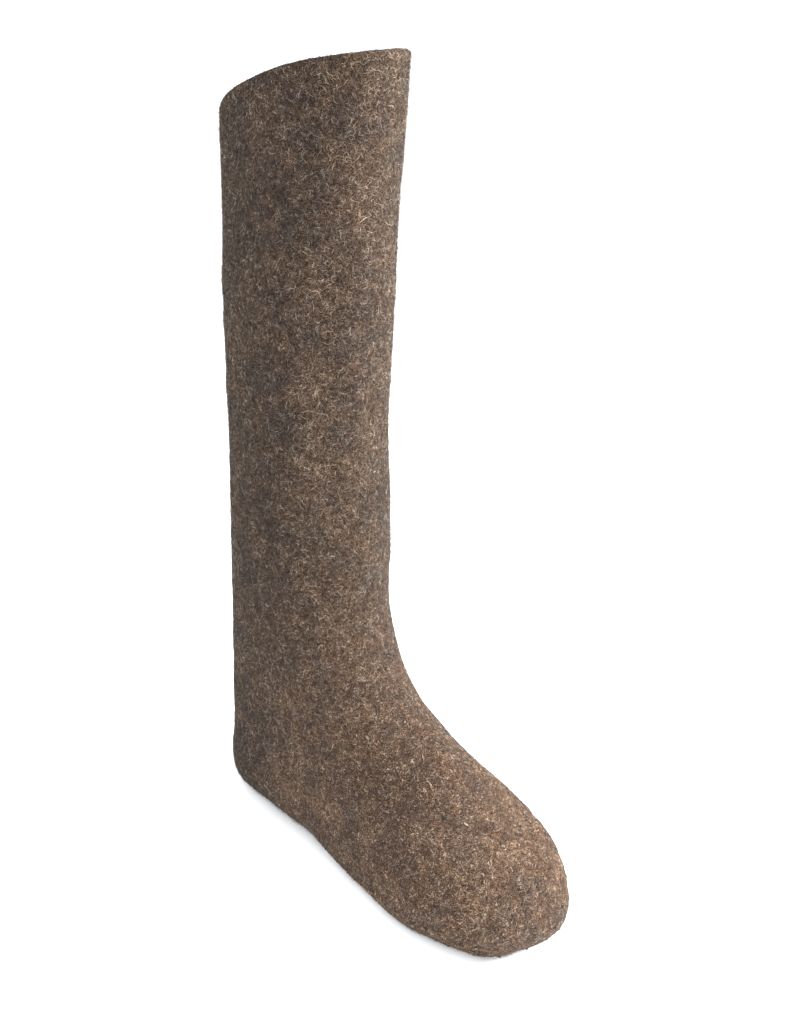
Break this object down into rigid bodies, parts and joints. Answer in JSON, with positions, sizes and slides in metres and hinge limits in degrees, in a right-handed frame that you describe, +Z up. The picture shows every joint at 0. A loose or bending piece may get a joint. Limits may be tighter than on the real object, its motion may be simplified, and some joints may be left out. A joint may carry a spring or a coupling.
{
  "type": "valenki felt boot",
  "caption": "Tall winter boot felted in one piece: a straight shaft with an open collar, a round toe, a thick felt sole and a loose felt insole.",
  "frame": {"origin": "on the floor, under the middle of the boot's box", "axes": "+Z up the shaft, +X towards the toe, +Y to the boot's left"},
  "size_m": [0.2967, 0.1047, 0.4806],
  "materials": {
    "boot_felt": "dense grey-brown wool felt, matt, mottled, with short fuzz and pale coarse hairs",
    "insole_felt": "thinner light grey-brown needled felt, matt"
  },
  "bodies": {
    "root": {"felt_boot": "boot_felt", "insole": "insole_felt"}
  },
  "joints": []
}
